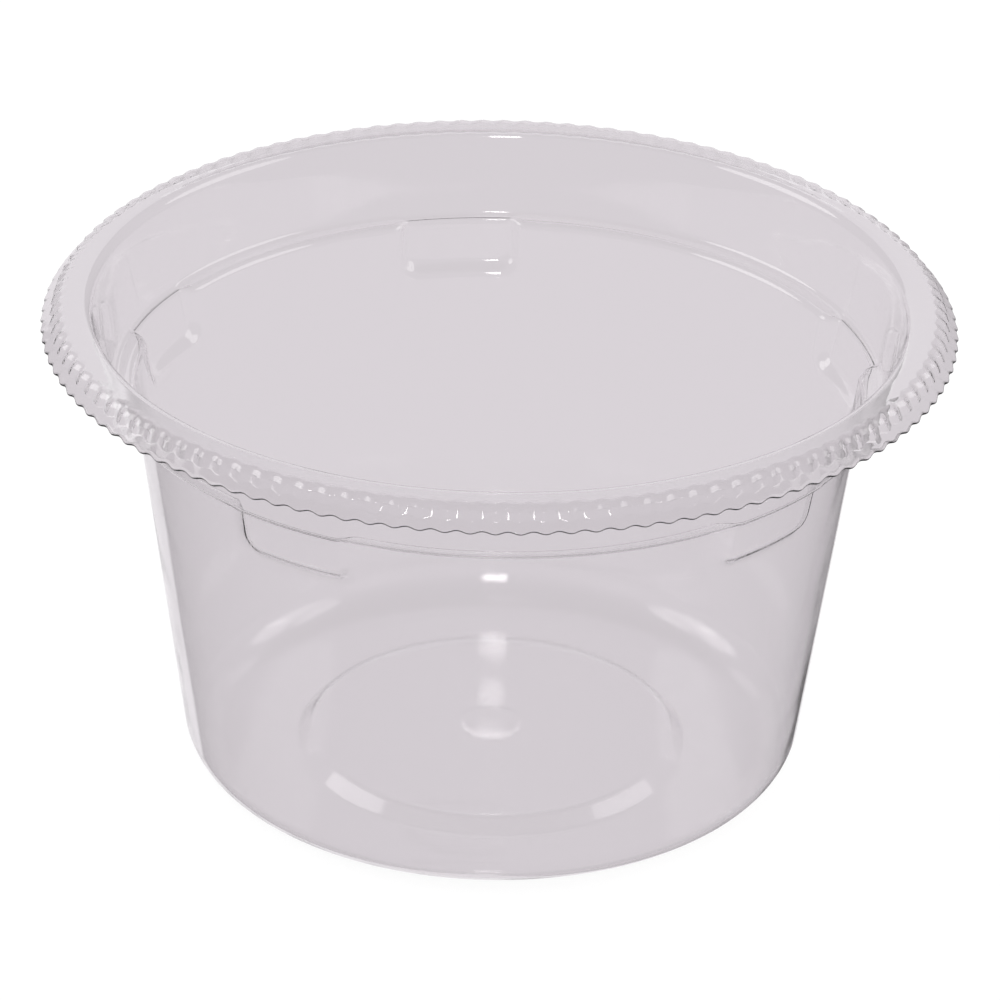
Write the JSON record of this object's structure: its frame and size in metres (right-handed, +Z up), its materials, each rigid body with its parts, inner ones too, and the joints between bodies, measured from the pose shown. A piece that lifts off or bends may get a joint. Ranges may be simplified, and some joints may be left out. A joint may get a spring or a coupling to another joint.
{
  "type": "plastic dessert cup",
  "caption": "Clear tapered dessert cup of formed plastic sheet, with a wide fluted flange, a stacking ledge with pockets and a flat foot with a pushed-up centre.",
  "frame": {"origin": "centre of the cup on its axis, at the level of the standing ring", "axes": "+Z up along the cup's axis, towards the mouth; -Y is the front, the side that the picture shows nearest"},
  "size_m": [0.095, 0.095, 0.0524],
  "materials": {
    "sheet": "clear, polished, slightly lilac grey formed sheet"
  },
  "bodies": {
    "root": {"cup": "sheet"}
  },
  "joints": []
}
